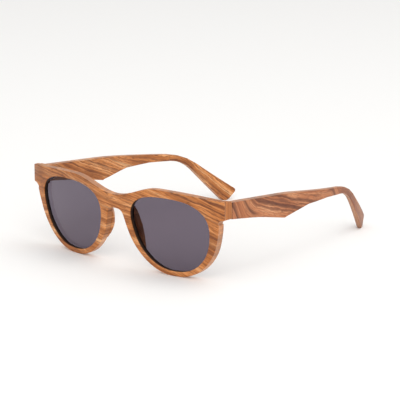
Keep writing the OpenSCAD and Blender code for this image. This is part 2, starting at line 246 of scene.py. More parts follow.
def evenly(points, spacing, closed=True):
    """The same line with extra points, so that no stretch is longer than the spacing."""
    ends = np.roll(points, -1, axis=0) if closed else points[1:]
    starts = points if closed else points[:-1]
    out = []
    for a, b in zip(starts, ends):
        count = max(1, int(np.ceil(np.linalg.norm(b - a) / spacing)))
        out.extend(a + (b - a) * i / count for i in range(count))
    if not closed:
        out.append(points[-1])
    return np.array(out)


def respaced(points, spacing):
    """Points at even steps along a line."""
    run = np.concatenate([[0], np.cumsum(np.linalg.norm(np.diff(points, axis=0), axis=1))])
    at = np.linspace(0, run[-1], int(run[-1] / spacing) + 1)
    return np.stack([np.interp(at, run, points[:, k]) for k in (0, 1)], axis=1)


def mirrored(points):
    """The same points on the other side of the nose."""
    return points * (-1, 1)


def counter_clockwise(loop):
    """The same loop, turned about where it runs clockwise."""
    x, z = loop[:, 0], loop[:, 1]
    area = np.sum(x * np.roll(z, -1) - np.roll(x, -1) * z)
    return loop if area > 0 else loop[::-1]


def inside(points, loop):
    """Which points lie inside a closed loop."""
    x, y = points[:, 0, None], points[:, 1, None]
    a, b = loop, np.roll(loop, -1, axis=0)
    crosses = (a[:, 1] > y) != (b[:, 1] > y)
    rise = np.where(b[:, 1] == a[:, 1], 1e-12, b[:, 1] - a[:, 1])
    at = a[:, 0] + (y - a[:, 1]) * (b[:, 0] - a[:, 0]) / rise
    return np.sum(crosses & (x < at), axis=1) % 2 == 1


def offset(loop, distance):
    """A counter-clockwise loop moved inwards, or outwards by a negative distance."""
    ahead = np.roll(loop, -1, axis=0) - loop
    ahead /= np.linalg.norm(ahead, axis=1, keepdims=True)
    normal = np.stack([-ahead[:, 1], ahead[:, 0]], axis=1)
    mitre = normal + np.roll(normal, 1, axis=0)
    length = np.linalg.norm(mitre, axis=1, keepdims=True)
    mitre /= length
    return loop + mitre * distance / np.maximum(length / 2, 0.5)


def front_outline():
    """Outer outline of the front: brow, end pieces, rims and nose arch."""
    spacing = 1.0
    end_x = END_X - SEAM
    brow_x = np.linspace(0, end_x, int(end_x / spacing) + 1)[:-1]
    brow = np.stack([brow_x, brow_z(brow_x)], axis=1)
    top, low = (end_x, END_TOP), (end_x, END_LOW)
    rim = rim_points(np.radians(np.arange(60, -200, -0.25)))
    side = rim[(rim[:, 0] > LENS_MID[0]) & (rim[:, 1] > LENS_MID[1])][::-1]
    elbow_z = END_LOW - END_HOLLOW_DROP
    elbow = (np.interp(elbow_z, side[:, 1], side[:, 0]), elbow_z)
    end = np.concatenate(
        [
            rounded_corner(brow[-2], top, low, CORNER_R),
            rounded_corner(top, low, elbow, CORNER_R),
            rounded_corner(low, elbow, side[0], END_HOLLOW_R),
        ]
    )
    under_end = rim[:, 1] < end[-1, 1]
    arch_join = 2.2
    below_arch = rim[:, 1] < ARCH_H - ARCH_HALF[1] - arch_join
    outer = rim[:, 0] > LENS_MID[0]
    rim = rim[np.where(outer, under_end, below_arch)]
    arch_mid = (0, ARCH_H - ARCH_HALF[1])
    squares = (ARCH_SQUARE, ARCH_SQUARE)
    arch = superellipse(
        np.radians(np.arange(16, 90, 1.0)), arch_mid, ARCH_HALF, squares, 0, 0
    )
    nose = np.concatenate([rim, arch, [(0, ARCH_H)]])
    half = np.concatenate([evenly(brow[:-1], spacing, False), end, respaced(nose, spacing)])
    other = mirrored(half[1:-1])[::-1]
    return counter_clockwise(evenly(np.concatenate([half, other]), 1.3 * spacing))


def temple_outline():
    """Side outline of a temple, along y and z."""
    start, bend = TEMPLE_Y, TEMPLE_Y + BEND_LEN
    root_top = END_TOP - ROOT_DROP
    root_low = root_top - ROOT_H
    heel = 5
    corners = [
        (start, root_low, CORNER_R),
        (start + 22.9, root_low - 3.2, 150),
        (start + 45.6, root_low - 8.05, 0.8),
        (start + 66.7, root_low - 2.8, 118),
        (bend, root_low - 6.75, 25),
        (bend + 28.2, 0, 3.5),
        (bend + 35, 6.1, 1.8),
        (bend, root_top - 12.25, 42),
        (start + 50.9, root_top - 4.05, 300),
        (start, root_top, CORNER_R),
    ]
    # The rounded heel stands on the table, so that its sharp corner lies below
    for _ in range(8):
        lift = rounded_outline(corners)[:, 1].min()
        y, z, radius = corners[heel]
        corners[heel] = (y, z - lift, radius)
    return counter_clockwise(evenly(rounded_outline(corners), spacing=1.4))


# Meshes


def edge_profile(radius, steps=3):
    """Inset and depth of a rounded edge, from the face down to the wall."""
    angle = np.linspace(0, np.pi / 2, steps + 1)
    return [(radius * (1 - np.sin(a)), radius * (1 - np.cos(a))) for a in angle]


class Shell:
    """Collects the points and faces of one closed mesh, in millimetres."""

    def __init__(self):
        self.points = []
        self.faces = []
        self.chars_and_shades = []

    def add(self, points, char_and_shade=0.0):
        """Adds points with one darkness, which is char on the lens seats and painted shade
        elsewhere, and gives their numbers.
        """
        first = len(self.points)
        self.points.extend(points)
        self.chars_and_shades.extend([char_and_shade] * len(points))
        return np.arange(first, first + len(points))

    def strip(self, ring_a, ring_b):
        """Quads between two closed rings of as many points."""
        for i in range(len(ring_a)):
            j = (i + 1) % len(ring_a)
            self.faces.append((ring_a[i], ring_a[j], ring_b[j], ring_b[i]))

    def fill(self, outer, holes, place, spacing, flat):
        """Triangles between an outer ring and hole rings, with points spread between them."""
        loops = [flat[ring] for ring in [outer] + holes]
        low, high = loops[0].min(0), loops[0].max(0)
        rows = []
        for k, v in enumerate(np.arange(low[1], high[1], spacing * 0.87)):
            u = np.arange(low[0] + spacing * 0.5 * (k % 2), high[0], spacing)
            rows.append(np.stack([u, np.full(len(u), v)], axis=1))
        spread = np.concatenate(rows)
        keep = inside(spread, loops[0])
        for loop in loops[1:]:
            keep &= ~inside(spread, loop)
        edge = np.concatenate(loops)
        near = [np.min(np.linalg.norm(edge - p, axis=1)) < spacing * 0.6 for p in spread]
        spread = spread[keep & ~np.array(near)]
        inner = self.add(place(spread))
        index = np.concatenate([outer] + holes + [inner])
        flats = np.concatenate(loops + [spread])
        edges, first = [], 0
        for loop in loops:
            count = len(loop)
            edges += [(first + i, first + (i + 1) % count) for i in range(count)]
            first += count
        corners = [Vector((float(u), float(v))) for u, v in flats]
        result = delaunay_2d_cdt(corners, edges, [], 1, 1e-6)
        for triangle, middle in [(t, np.mean(flats[t], axis=0)) for t in result[2]]:
            if any(inside(middle[None], loop)[0] for loop in loops[1:]):
                continue
            if inside(middle[None], loops[0])[0]:
                self.faces.append(tuple(index[list(triangle)]))

    def build(self, name):
        """Makes the piece, with all its faces turned outwards."""
        mesh = bpy.data.meshes.new(name)
        points = np.array(self.points) * MM
        mesh.from_pydata(points.tolist(), [], [tuple(map(int, f)) for f in self.faces])
        char_and_shade = mesh.attributes.new("char_and_shade", "FLOAT", "POINT")
        char_and_shade.data.foreach_set("value", np.array(self.chars_and_shades, np.float32))
        work = bmesh.new()
        work.from_mesh(mesh)
        bmesh.ops.recalc_face_normals(work, faces=work.faces)
        work.to_mesh(mesh)
        work.free()
        mesh.update()
        piece = bpy.data.objects.new(name, mesh)
        bpy.context.scene.collection.objects.link(piece)
        return piece


def slab(name, loop, near, far, to_mm, holes=(), spacing=2.0):
    """A solid between two faces, with softened edges and holes that have their own walls.

    near and far give the faces' places over the outline, and to_mm turns an outline
    point and a place into a point. Each hole is an outline as a function of a growth,
    and the rings of its wall: growth, depth behind the near face and char."""
    shell = Shell()
    flat = []

    def ring(points, place, char_and_shade=0.0):
        flat.extend(points)
        return shell.add(to_mm(points, place), char_and_shade)

    front_rings, back_rings = [], []
    for inset, depth in edge_profile(EDGE_R):
        moved = offset(loop, inset)
        front_rings.append(ring(moved, near(moved) + depth))
    for inset, depth in edge_profile(EDGE_R):
        moved = offset(loop, inset)
        back_rings.append(ring(moved, far(moved) - depth))
    wall = front_rings + back_rings[::-1]
    for a, b in zip(wall, wall[1:]):
        shell.strip(a, b)
    hole_front, hole_back = [], []
    for outline, rings in holes:
        made = []
        for grow, depth, char_and_shade in rings:
            moved = outline(grow)
            made.append(ring(moved, near(moved) + depth, char_and_shade))
        for a, b in zip(made, made[1:]):
            shell.strip(a, b)
        hole_front.append(made[0])
        hole_back.append(made[-1])

    for outer, inner, face in (
        (front_rings[0], hole_front, near),
        (back_rings[0], hole_back, far),
    ):
        shell.fill(outer, inner, lambda p, face=face: to_mm(p, face(p)), spacing, np.array(flat))
        flat.extend([(0, 0)] * (len(shell.points) - len(flat)))
    return shell.build(name)


def on_front(points, y):
    """Points in space from points of x and z and their places along y."""
    return np.stack([points[:, 0], y, points[:, 1]], axis=1)


def evaluated(piece):
    """Makes a piece's modifiers part of its mesh."""
    graph = bpy.context.evaluated_depsgraph_get()
    mesh = bpy.data.meshes.new_from_object(piece.evaluated_get(graph))
    piece.modifiers.clear()
    old = piece.data
    piece.data = mesh
    bpy.data.meshes.remove(old)
    return piece


def combine(piece, tool, operation):
    """Joins a tool to a piece, or cuts it out, and removes the tool."""
    change = piece.modifiers.new("change", "BOOLEAN")
    change.operation = operation
    change.solver = "EXACT"
    change.object = tool
    evaluated(piece)
    bpy.data.objects.remove(tool)
    return piece


def prism(name, plan, low, high, radius):
    """An upright prism on a plan of x and y, with softened edges."""
    shell = Shell()
    plan = counter_clockwise(np.array(plan, float))
    rings = [
        shell.add(np.column_stack([plan, np.full(len(plan), z)])) for z in (low, high)
    ]
    shell.strip(*rings)
    shell.faces += [tuple(rings[0][::-1]), tuple(rings[1])]
    piece = shell.build(name)
    if radius:
        soften(piece, radius)
        evaluated(piece)
    return piece


def soften(piece, radius, segments=3):
    """Rounds the sharp edges of a piece by a modifier."""
    bevel = piece.modifiers.new("soft_edges", "BEVEL")
    bevel.width = radius * MM
    bevel.segments = segments
    bevel.limit_method = "ANGLE"
    bevel.angle_limit = np.radians(40)
    return piece


def smooth(piece):
    """Smooth shading that keeps broad faces flat."""
    piece.data.shade_smooth()
    even = piece.modifiers.new("even_normals", "WEIGHTED_NORMAL")
    even.keep_sharp = True
    return piece


# Pieces


def make_front():
    """The wrapped front with its burnt lens seats, and an end block behind each end."""
    angle = even_angles()
    bare, dark, black = 0.0, 0.9, 1.0
    notch, back_edge = 0.1, 0.15
    seat = [(inset, depth, bare) for inset, depth in edge_profile(SEAT_EDGE_R)]
    seat += [
        (0, 2 * SEAT_EDGE_R, dark),
        (0, LENS_SET - notch, black),
        (notch, LENS_SET, black),
        (LEDGE_W, LENS_SET, black),
        (LEDGE_W, FRONT_T - back_edge, black),
        (LEDGE_W + back_edge, FRONT_T / np.cos(TILT), bare),
    ]

    def left_opening(grow):
        return opening_points(angle, grow)

    def right_opening(grow):
        return mirrored(opening_points(angle, grow))[::-1]

    holes = [(left_opening, seat), (right_opening, seat)]
    front = slab(
        "front", front_outline(), front_face_y, front_back_y, on_front, holes, spacing=1.8
    )
    leaf_low, _ = cad_mm("hinge_leaf_left")
    leaf_seat = leaf_low[1] - GLUE_GAP
    block_in_x = leaf_low[0] - BLOCK_PAST_LEAF
    buried = 1.6
    start = front_face_y(np.array([[END_X, END_LOW]]))[0] + buried
    for side in SIDES.values():
        plan = [
            (END_X, start),
            (END_X, BUTT_Y),
            (TEMPLE_IN_X, BUTT_Y),
            (TEMPLE_IN_X, leaf_seat),
            (block_in_x, leaf_seat),
            (block_in_x, start),
        ]
        plan = [(x * side, y) for x, y in plan]
        low, high = END_LOW + SEAM, END_LOW + END_BLOCK_H
        block = prism("end_block", plan, low, high, BLOCK_EDGE_R)
        combine(front, block, "UNION")
    return front


def temple_outer_x(p):
    """Outer face of a temple: flat, then an arc towards the head."""
    run = np.maximum(p[:, 0] - TEMPLE_Y - STRAIGHT_LEN, 0)
    return END_X - CURVE_R + np.sqrt(CURVE_R**2 - run**2)


def temple_inner_x(p):
    """Inner face of a temple: flat, then an arc that thins it towards the tip."""
    run = p[:, 0] - TEMPLE_Y - STRAIGHT_LEN - INNER_LATER
    curve = TEMPLE_IN_X + THIN - INNER_R + np.sqrt(INNER_R**2 - run**2)
    return np.where(run < 0, np.maximum(curve, TEMPLE_IN_X), curve)


def make_temple(name, side):
    """A temple with a stepped pocket for its spring housing."""

    def near(p):
        return -temple_outer_x(p)

    def far(p):
        return -temple_inner_x(p)

    def to_mm(points, minus_x):
        return np.stack([-minus_x * side, points[:, 0], points[:, 1]], axis=1)

    temple = slab(name, temple_outline(), near, far, to_mm, spacing=2.2)
    low, high = cad_mm("spring_housing_left")
    low, high = low - GLUE_GAP, high + GLUE_GAP
    mid_z = (low[2] + high[2]) / 2
    half = HOUSING_H / 2 + GLUE_GAP
    ear_end = low[1] + EAR_LEN + 2 * GLUE_GAP
    in_x = low[0] - TEMPLE_T
    for end, bottom, top in ((high[1], mid_z - half, mid_z + half), (ear_end, low[2], high[2])):
        plan = [(in_x, low[1]), (high[0], low[1]), (high[0], end), (in_x, end)]
        pocket = prism("pocket", [(x * side, y) for x, y in plan], bottom, top, 0)
        combine(temple, pocket, "DIFFERENCE")
    return temple


def make_lens(name, side):
    """A wrapped lens: rings from the middle to the edge, on both faces."""
    shell = Shell()
    angle = even_angles()
    grow = LEDGE_W - GLUE_GAP
    edge = opening_points(angle, grow)
    mid = np.array(LENS_MID)
    front_depth = LENS_SET + GLUE_GAP
    rings = []
    # The last ring lies behind the rim, so that the soft edge bends no light in sight
    shares = [0.12, 0.25, 0.38, 0.5, 0.62, 0.74, 0.85, 0.94, 0.98]
    for depth, turn, order in (
        (front_depth, 1, shares),
        (front_depth + LENS_T, -1, shares[::-1]),
    ):
        soft = [(inset, turn * drop) for inset, drop in edge_profile(FINE_R)]
        face = [(mid + (edge - mid) * share, 0) for share in order]
        rim = [(opening_points(angle, grow - inset), drop) for inset, drop in soft]
        for flat, drop in face + rim if turn > 0 else rim[::-1] + face:
            y = front_y(flat, depth) + drop
            rings.append(shell.add(on_front(flat * (side, 1), y)))
    for a, b in zip(rings, rings[1:]):
        shell.strip(a, b)
    for ring, depth in ((rings[0], front_depth), (rings[-1], front_depth + LENS_T)):
        middle = shell.add(on_front((mid * (side, 1))[None], front_y(mid[None], depth)))[0]
        for i in range(len(ring)):
            shell.faces.append((ring[i], ring[(i + 1) % len(ring)], middle))
    lens = shell.build(name)
    # Every strip between the two faces is ground edge, the second material
    first, last = len(shares), len(rings) - len(shares) - 1
    for face in lens.data.polygons[first * len(angle) : last * len(angle)]:
        face.material_index = 1
    return lens


def pad_back_y(flat):
    """Back of a nose pad: a bowed face, splayed for the nose and leaning along the rim."""
    bow = PAD_DEPTH * np.cos(PAD_SPLAY)
    bow_r = (PAD_LEN**2 / 4 + bow**2) / (2 * bow)
    edge_x = LENS_MID[0] - OPENING_HALF[0] - PAD_EDGE_GAP
    edge_x += (LENS_MID[1] - PAD_Z) * np.tan(PAD_LEAN)
    edge_y = front_y(np.array([[edge_x, PAD_Z]]))[0] + FRONT_T / np.cos(TILT) + PAD_DEPTH
    turn = np.array(
        Matrix.Rotation(TILT, 3, "X")
        @ Matrix.Rotation(-PAD_LEAN, 3, "Y")
        @ Matrix.Rotation(PAD_SPLAY, 3, "Z")
    )
    axis = turn[:, 0]
    centre = np.array([edge_x, edge_y, PAD_Z]) - turn[:, 1] * bow_r
    away = on_front(flat, np.zeros(len(flat))) - centre
    along = away @ axis
    a = 1 - axis[1] ** 2
    b = away[:, 1] - along * axis[1]
    c = np.sum(away**2, axis=1) - along**2 - bow_r**2
    return (-b + np.sqrt(np.maximum(b * b - a * c, 0))) / a


def make_nose_pad(name, side):
    """A bowed, splayed strip behind the nose side of a rim, with softened edges, that
    fades out at both ends."""
    shell = Shell()
    dense = np.radians(np.arange(95, 265, 0.5))
    rim, opening = rim_points(dense), opening_points(dense, PAD_EDGE_GAP)
    low, high = cad_mm("nose_pad_left")
    rings = []
    levels, across, around = 49, 60, 25
    fewest = 8
    thin = 0.06
    end_gap = 0.15
    for z in np.linspace(low[2] + end_gap, high[2] - end_gap, levels):
        in_x = np.interp(z, rim[::-1, 1], rim[::-1, 0])
        out_x = min(np.interp(z, opening[::-1, 1], opening[::-1, 0]), high[0])
        x = np.linspace(in_x, out_x, across)
        flat = np.stack([x, np.full(len(x), z)], axis=1)
        back = front_y(flat, FRONT_T + GLUE_GAP)
        rise = pad_back_y(flat) - back
        first = min(np.sum(rise < thin), across - fewest)
        x, rise = x[first:], np.maximum(rise[first:], thin)
        corners = [(x[0], 0), (x[0], rise[0]), (x[-1], rise[-1]), (x[-1], 0)]
        room = min(x[-1] - x[0], rise[0], rise[-1]) * 0.45
        edge_r = min(PAD_EDGE_R, room)
        ridge_r = min(PAD_RIDGE_R, room * 0.6)
        line = np.concatenate(
            [
                corners[:1],
                rounded_corner(corners[0], corners[1], corners[2], edge_r),
                rounded_corner(corners[1], corners[2], corners[3], ridge_r),
                corners[3:],
            ]
        )
        run = np.append(0, np.cumsum(np.linalg.norm(np.diff(line, axis=0), axis=1)))
        at = np.linspace(0, run[-1], around)
        x, rise = (np.interp(at, run, line[:, k]) for k in (0, 1))
        flat = np.stack([x, np.full(around, z)], axis=1)
        y = front_y(flat, FRONT_T + GLUE_GAP) + rise
        rings.append(shell.add(on_front(flat * (side, 1), y)))
    for a, b in zip(rings, rings[1:]):
        shell.strip(a, b)
    shell.faces += [tuple(rings[0]), tuple(rings[-1][::-1])]
    return shell.build(name)


def make_spring(name, side):
    """A coil of round wire in the space of the CAD spring, with flat ends."""
    low, high = cad_mm("hinge_spring_" + side)
    mid_x, _, mid_z = (low + high) / 2
    coil_r = (high[0] - low[0]) / 2 - WIRE_R
    pitch = (high[1] - low[1] - 2 * WIRE_R) / SPRING_TURNS
    shell = Shell()
    rings = []
    round_wire = np.linspace(0, 2 * np.pi, 12, endpoint=False)
    for turn in np.linspace(0, SPRING_TURNS, 24 * SPRING_TURNS + 1):
        angle = 2 * np.pi * turn
        out = np.array([SIDES[side] * np.cos(angle), 0, np.sin(angle)])
        middle = np.array([mid_x, low[1] + WIRE_R + pitch * turn, mid_z]) + coil_r * out
        wire = np.outer(np.cos(round_wire), out) + np.outer(np.sin(round_wire), (0, 1, 0))
        rings.append(shell.add(middle + WIRE_R * wire))
    for a, b in zip(rings, rings[1:]):
        shell.strip(a, b)
    shell.faces += [tuple(rings[0]), tuple(rings[-1][::-1])]
    return shell.build(name)


# Grain


def set_grain(piece, along, height, depth):
    """Stores where each point lies in its wood: along the grain, among the growth rings
    and through the plies, in millimetres."""
    places = np.stack([along, height, depth], axis=1)
    grain = piece.data.attributes.new("grain", "FLOAT_VECTOR", "POINT")
    grain.data.foreach_set("vector", places.astype(np.float32).ravel())
    return piece


def points_mm(piece):
    """All the points of a piece, in millimetres."""
    flat = np.zeros(len(piece.data.vertices) * 3, np.float32)
    piece.data.vertices.foreach_get("co", flat)
    return flat.reshape(-1, 3) / MM


def figure_height(along, up, slants):
    """Height of a point among the growth rings. slants gives how steeply the figure falls
    at places along a piece, in degrees."""
    at, fall = (np.array(v, float) for v in zip(*slants))
    step = 0.5
    run = np.arange(at[0], at[-1], step)
    slant = np.radians(np.interp(run, at, fall))
    rise = np.append(0, np.cumsum(np.sin(slant) * step)[:-1])
    rise -= np.interp(0, run, rise)
    return np.interp(along, run, rise) + up * np.cos(np.interp(along, run, slant))


def paint_shade(piece, where, share):
    """Paints shade onto some points of a piece, darkening them as char does."""
    char_and_shade = np.zeros(len(piece.data.vertices), np.float32)
    piece.data.attributes["char_and_shade"].data.foreach_get("value", char_and_shade)
    char_and_shade = np.where(where, np.maximum(char_and_shade, share), char_and_shade)
    piece.data.attributes["char_and_shade"].data.foreach_set("value", char_and_shade.astype(np.float32))


def grain_of_front(piece):
    """Boards across the front, with the figure following the brow. The end blocks stand
    upright in the grain and have no broad streaks. The nose arch shows the face's wood
    all through, darkened a little by painted shade."""
    x, y, z = points_mm(piece).T
    flat = np.stack([x, z], axis=1)
    depth = (y - front_face_y(flat)) * np.cos(TILT)
    height = figure_height(x, z, FIGURE_SLANTS["front"])
    end_block = (np.abs(x) > LENS_MID[0] + OPENING_HALF[0]) & (z > END_LOW - EDGE_R)
    end_block &= y > front_face_y(flat) + FACE_BOARD_T
    above_arch = 1
    nose_arch = (np.abs(x) < LENS_MID[0] - OPENING_HALF[0]) & (z < ARCH_H + above_arch)
    in_wall = (depth > EDGE_R / 2) & (depth < FRONT_T - EDGE_R / 2)
    # Painted shade on the nose arch walls, which the rims keep in shadow
    paint_shade(piece, nose_arch & in_wall, ARCH_SHADE)
    depth = np.where(end_block | nose_arch, 0, depth)
    height = np.where(end_block, y + UPRIGHT_FROM, height)
    along = np.where(end_block, np.sign(x) * BEYOND_STREAKS, x)
    return set_grain(piece, along, height, depth)


def temple_run(place):
    """Distance along a temple's grain, which follows the ear bend, and height above it."""
    before_root, bend_r = 8, 30
    # The line that the grain follows, along y and z
    hinge = (TEMPLE_Y - before_root, 41.2)
    bend = (TEMPLE_Y + BEND_LEN, 30.6)
    tip = (TEMPLE_Y + 150, -2.6)
    arc = rounded_corner(hinge, bend, tip, bend_r, step=0.05)
    line = respaced(np.concatenate([[hinge], arc, [tip]]), spacing=0.5)
    ahead = np.gradient(line, axis=0)
    ahead /= np.linalg.norm(ahead, axis=1, keepdims=True)
    run = np.arange(len(line)) * np.linalg.norm(line[1] - line[0]) - before_root
    near = np.array([np.argmin(np.sum((line - p) ** 2, axis=1)) for p in place])
    away = place - line[near]
    along = run[near] + np.sum(away * ahead[near], axis=1)
    up = ahead[near, 0] * away[:, 1] - ahead[near, 1] * away[:, 0]
    return along, up


def grain_of_temple(piece, side, slants):
    """Grain that follows a temple round its ear bend."""
    x, y, z = points_mm(piece).T
    place = np.stack([y, z], axis=1)
    along, up = temple_run(place)
    # Painted shade along the temple's butted end, where the joint gap lies in shadow
    paint_shade(piece, y < TEMPLE_Y + EDGE_R, JOINT_SHADE)
    outer = temple_outer_x(place)
    share = (outer - x * side) / (outer - temple_inner_x(place))
    return set_grain(piece, along, figure_height(along, up, slants), share * FRONT_T)


# Materials


def linear(hex_code):
    """A colour's linear red, green, blue and alpha from its sRGB hex code."""
    parts = [int(hex_code[i : i + 2], 16) / 255 for i in (1, 3, 5)]
    return [
        c / 12.92 if c <= 0.04045 else ((c + 0.055) / 1.055) ** 2.4 for c in parts
    ] + [1.0]


def new_material(name):
    """A material with no nodes yet."""
    material = bpy.data.materials.new(name)
    material.use_nodes = True
    material.node_tree.nodes.clear()
    return material


def node(material, kind, settings=None, **inputs):
    """Adds a node, sets its properties and sets or links its inputs, which are named or
    given as _ and their number."""
    made = material.node_tree.nodes.new(kind)
    for key, value in (settings or {}).items():
        setattr(made, key, value)
    for key, value in inputs.items():
        socket = made.inputs[int(key[1:]) if key[1:].isdigit() else key.replace("_", " ")]
        if isinstance(value, bpy.types.Node):
            value = next(out for out in value.outputs if out.enabled)
        if isinstance(value, bpy.types.NodeSocket):
            material.node_tree.links.new(value, socket)
        else:
            socket.default_value = value
    return made


def colour_stops(ramp, stops):
    """Sets the stops of a ramp from low to high, each a place and a hex code or a share."""
    elements = ramp.color_ramp.elements
    while len(elements) < len(stops):
        elements.new(1.0)
    for element, (place, tone) in zip(elements, stops):
        element.position = place
        element.color = linear(tone) if isinstance(tone, str) else (tone, tone, tone, 1.0)


MATH = "ShaderNodeMath"
MIX = "ShaderNodeMix"
RANGE = "ShaderNodeMapRange"
NOISE = "ShaderNodeTexNoise"
PRINCIPLED = "ShaderNodeBsdfPrincipled"
OUTPUT = "ShaderNodeOutputMaterial"
RGBA = {"data_type": "RGBA"}
SMOOTH = {"interpolation_type": "SMOOTHSTEP"}
TIMES = {"operation": "MULTIPLY"}
TIMES_PLUS = {"operation": "MULTIPLY_ADD"}


def figured_wood(name, seed, tones, roll_mm, line_share, stretches):
    """Figured rosewood veneers on paler core plies, sanded and oiled: fine dark lines and a
    few broad streaks wander over a warm brown ground, pores break the surface, the pale
    plies show along the edges and also paint the highlight that the edges catch, and the
    oil leaves a soft satin sheen. Some broad dark stretches are painted shade. Lens seats
    are charred where they were burnt to size, and the same dark paints shade into the
    temples' joints and onto the nose arch.

    seed picks the log, tones are the ground's colours from dark to light, roll_mm is how
    far the rings wander, and line_share is how dark the late wood is. stretches are the
    broad dark streaks from one distance along the grain to another: height among the
    rings, half width in millimetres, darkness."""
    m = new_material(name)
    grain = node(m, "ShaderNodeAttribute", {"attribute_name": "grain"}).outputs["Vector"]
    char_and_shade = node(m, "ShaderNodeAttribute", {"attribute_name": "char_and_shade"}).outputs["Fac"]
    parts = node(m, "ShaderNodeSeparateXYZ", Vector=grain)
    along, height, depth = (parts.outputs[axis] for axis in "XYZ")

    # Patches: size along the grain, across it and through the plies, detail, seed. The
    # fibres and pores are drawn several times too coarse, so that they show at all.
    patch = {}
    for key, size, detail, shift in (
        ("rolling", (46, 16, 60), 1.0, 0.0),
        ("ripple", (14, 5, 20), 1.5, 7.3),
        ("quiver", (4.5, 1.8, 6), 1.0, 2.6),
        ("cloud", (22, 6, 30), 1.5, 3.1),
        ("dash", (5, 0.9, 4), 1.0, 4.4),
        ("fibre", (9, 0.5, 0.5), 2.0, 1.7),
        ("pore", (3.2, 0.55, 0.55), 1.0, 5.9),
    ):
        scale = [1 / mm for mm in size]
        start = [seed + shift] * 3
        place = node(m, "ShaderNodeVectorMath", TIMES_PLUS, _0=grain, _1=scale, _2=start)
        patch[key] = node(m, NOISE, Vector=place, Scale=1.0, Detail=detail).outputs[0]

    # Plies, each cut from another part of the log. The small shift keeps both faces of
    # the board well inside one ply.
    ply_t = 1.5
    layer = node(m, MATH, TIMES_PLUS, _0=depth, _1=1 / ply_t, _2=0.05)
    ply = node(m, MATH, {"operation": "FLOOR"}, _0=layer)

    # Growth rings are lines of one height over a rolling surface, so that they wander.
    # The broad streaks wander less, so that they keep their places.
    ripple_mm = 3.0
    quiver_mm = 0.8
    ply_mm = 11.3
    near_height = node(m, MATH, TIMES_PLUS, _0=patch["ripple"], _1=ripple_mm, _2=height)
    near_height = node(m, MATH, TIMES_PLUS, _0=patch["quiver"], _1=quiver_mm, _2=near_height)
    height = node(m, MATH, TIMES_PLUS, _0=patch["rolling"], _1=roll_mm, _2=near_height)
    height = node(m, MATH, TIMES_PLUS, _0=ply, _1=ply_mm, _2=height)
    rings = {}
    for key, width, detail, shift in (
        ("broad", 5.0, 1.0, 3.7),
        ("tone", 1.3, 1.0, 11.4),
        ("line", 0.55, 0.5, 21.2),
    ):
        start = seed + shift
        place = node(m, MATH, TIMES_PLUS, _0=height, _1=1 / width, _2=start)
        one_way = {"noise_dimensions": "1D"}
        rings[key] = node(m, NOISE, one_way, W=place, Scale=1.0, Detail=detail).outputs[0]
    tone = node(m, MIX, _0=0.45, _2=rings["broad"], _3=rings["tone"])
    tone = node(m, MIX, _0=0.45, _2=tone, _3=patch["cloud"])
    ground = node(m, "ShaderNodeValToRGB", Fac=tone)
    colour_stops(ground, list(zip((0.36, 0.455, 0.55, 0.66), tones)))

    # Thin dark late wood, broken into dashes
    line = node(
        m, RANGE, SMOOTH, Value=rings["line"], From_Min=0.5, From_Max=0.64, To_Max=line_share
    )
    broken = node(
        m, RANGE, SMOOTH, Value=patch["dash"], From_Min=0.36, From_Max=0.6, To_Min=0.2
    )
    line = node(m, MATH, TIMES, _0=line, _1=broken)
    colour = node(m, MIX, RGBA, _0=line, _6=ground, _7=linear("#6E3B1E"))

    # Broad dark heart streaks, and some broad painted shade, which fade out at the ends of their
    # stretch
    solid = node(
        m, RANGE, Value=patch["dash"], From_Min=0.3, From_Max=0.7, To_Min=0.75, To_Max=1.0
    )
    fade = 4.0
    margin = 5
    for start, end, streaks_and_shade in stretches:
        low, high = streaks_and_shade[0][0] - margin, streaks_and_shade[-1][0] + margin
        at = node(m, RANGE, Value=near_height, From_Min=low, From_Max=high)
        streak = node(m, "ShaderNodeValToRGB", Fac=at)
        stops = []
        for middle, half, dark in streaks_and_shade:
            stops += [(middle - half, 0.0), (middle - half / 3, dark)]
            stops += [(middle + half / 3, dark), (middle + half, 0.0)]
        colour_stops(streak, [((mm - low) / (high - low), dark) for mm, dark in stops])
        share = node(m, MATH, TIMES, _0=streak.outputs[0], _1=solid)
        for edge, way in ((start, 1), (end, -1)):
            within = node(
                m, RANGE, SMOOTH, Value=along, From_Min=edge - way * fade,
                From_Max=edge + way * fade,
            )
            share = node(m, MATH, TIMES, _0=share, _1=within)
        colour = node(m, MIX, RGBA, _0=share, _6=colour, _7=linear("#4E261A"))

    # Fibres and short dark pores
    fibre = node(
        m, RANGE, SMOOTH, Value=patch["fibre"], From_Min=0.36, From_Max=0.62, To_Min=0.25,
        To_Max=0.0,
    )
    colour = node(m, MIX, RGBA, _0=fibre, _6=colour, _7=linear("#7F4828"))
    pore = node(
        m, RANGE, SMOOTH, Value=patch["pore"], From_Min=0.56, From_Max=0.68, To_Max=0.5
    )
    colour = node(m, MIX, RGBA, _0=pore, _6=colour, _7=linear("#54301F"))

    # Pale core plies with thin glue lines between them, seen only at the edges. The pale core
    # also stands for the light that the edges catch, so it is partly painted highlight.
    past_face = node(m, RANGE, SMOOTH, Value=depth, From_Min=0.2 * ply_t, From_Max=0.35 * ply_t)
    short_of_back = node(
        m, RANGE, SMOOTH, Value=depth, From_Min=2.6 * ply_t, From_Max=2.8 * ply_t, To_Min=1.0,
        To_Max=0.0,
    )
    core = node(m, MATH, TIMES, _0=past_face, _1=short_of_back)
    pale_and_highlight = node(m, MATH, TIMES, _0=core, _1=0.32)
    colour = node(m, MIX, RGBA, _0=pale_and_highlight, _6=colour, _7=linear("#DAAC8C"))
    fold = node(m, MATH, {"operation": "PINGPONG"}, _0=layer, _1=0.5)
    glue = node(m, RANGE, SMOOTH, Value=fold, From_Max=0.09, To_Min=0.4, To_Max=0.0)
    glue = node(m, MATH, TIMES, _0=glue, _1=core)
    colour = node(m, MIX, RGBA, _0=glue, _6=colour, _7=linear("#6B4029"))
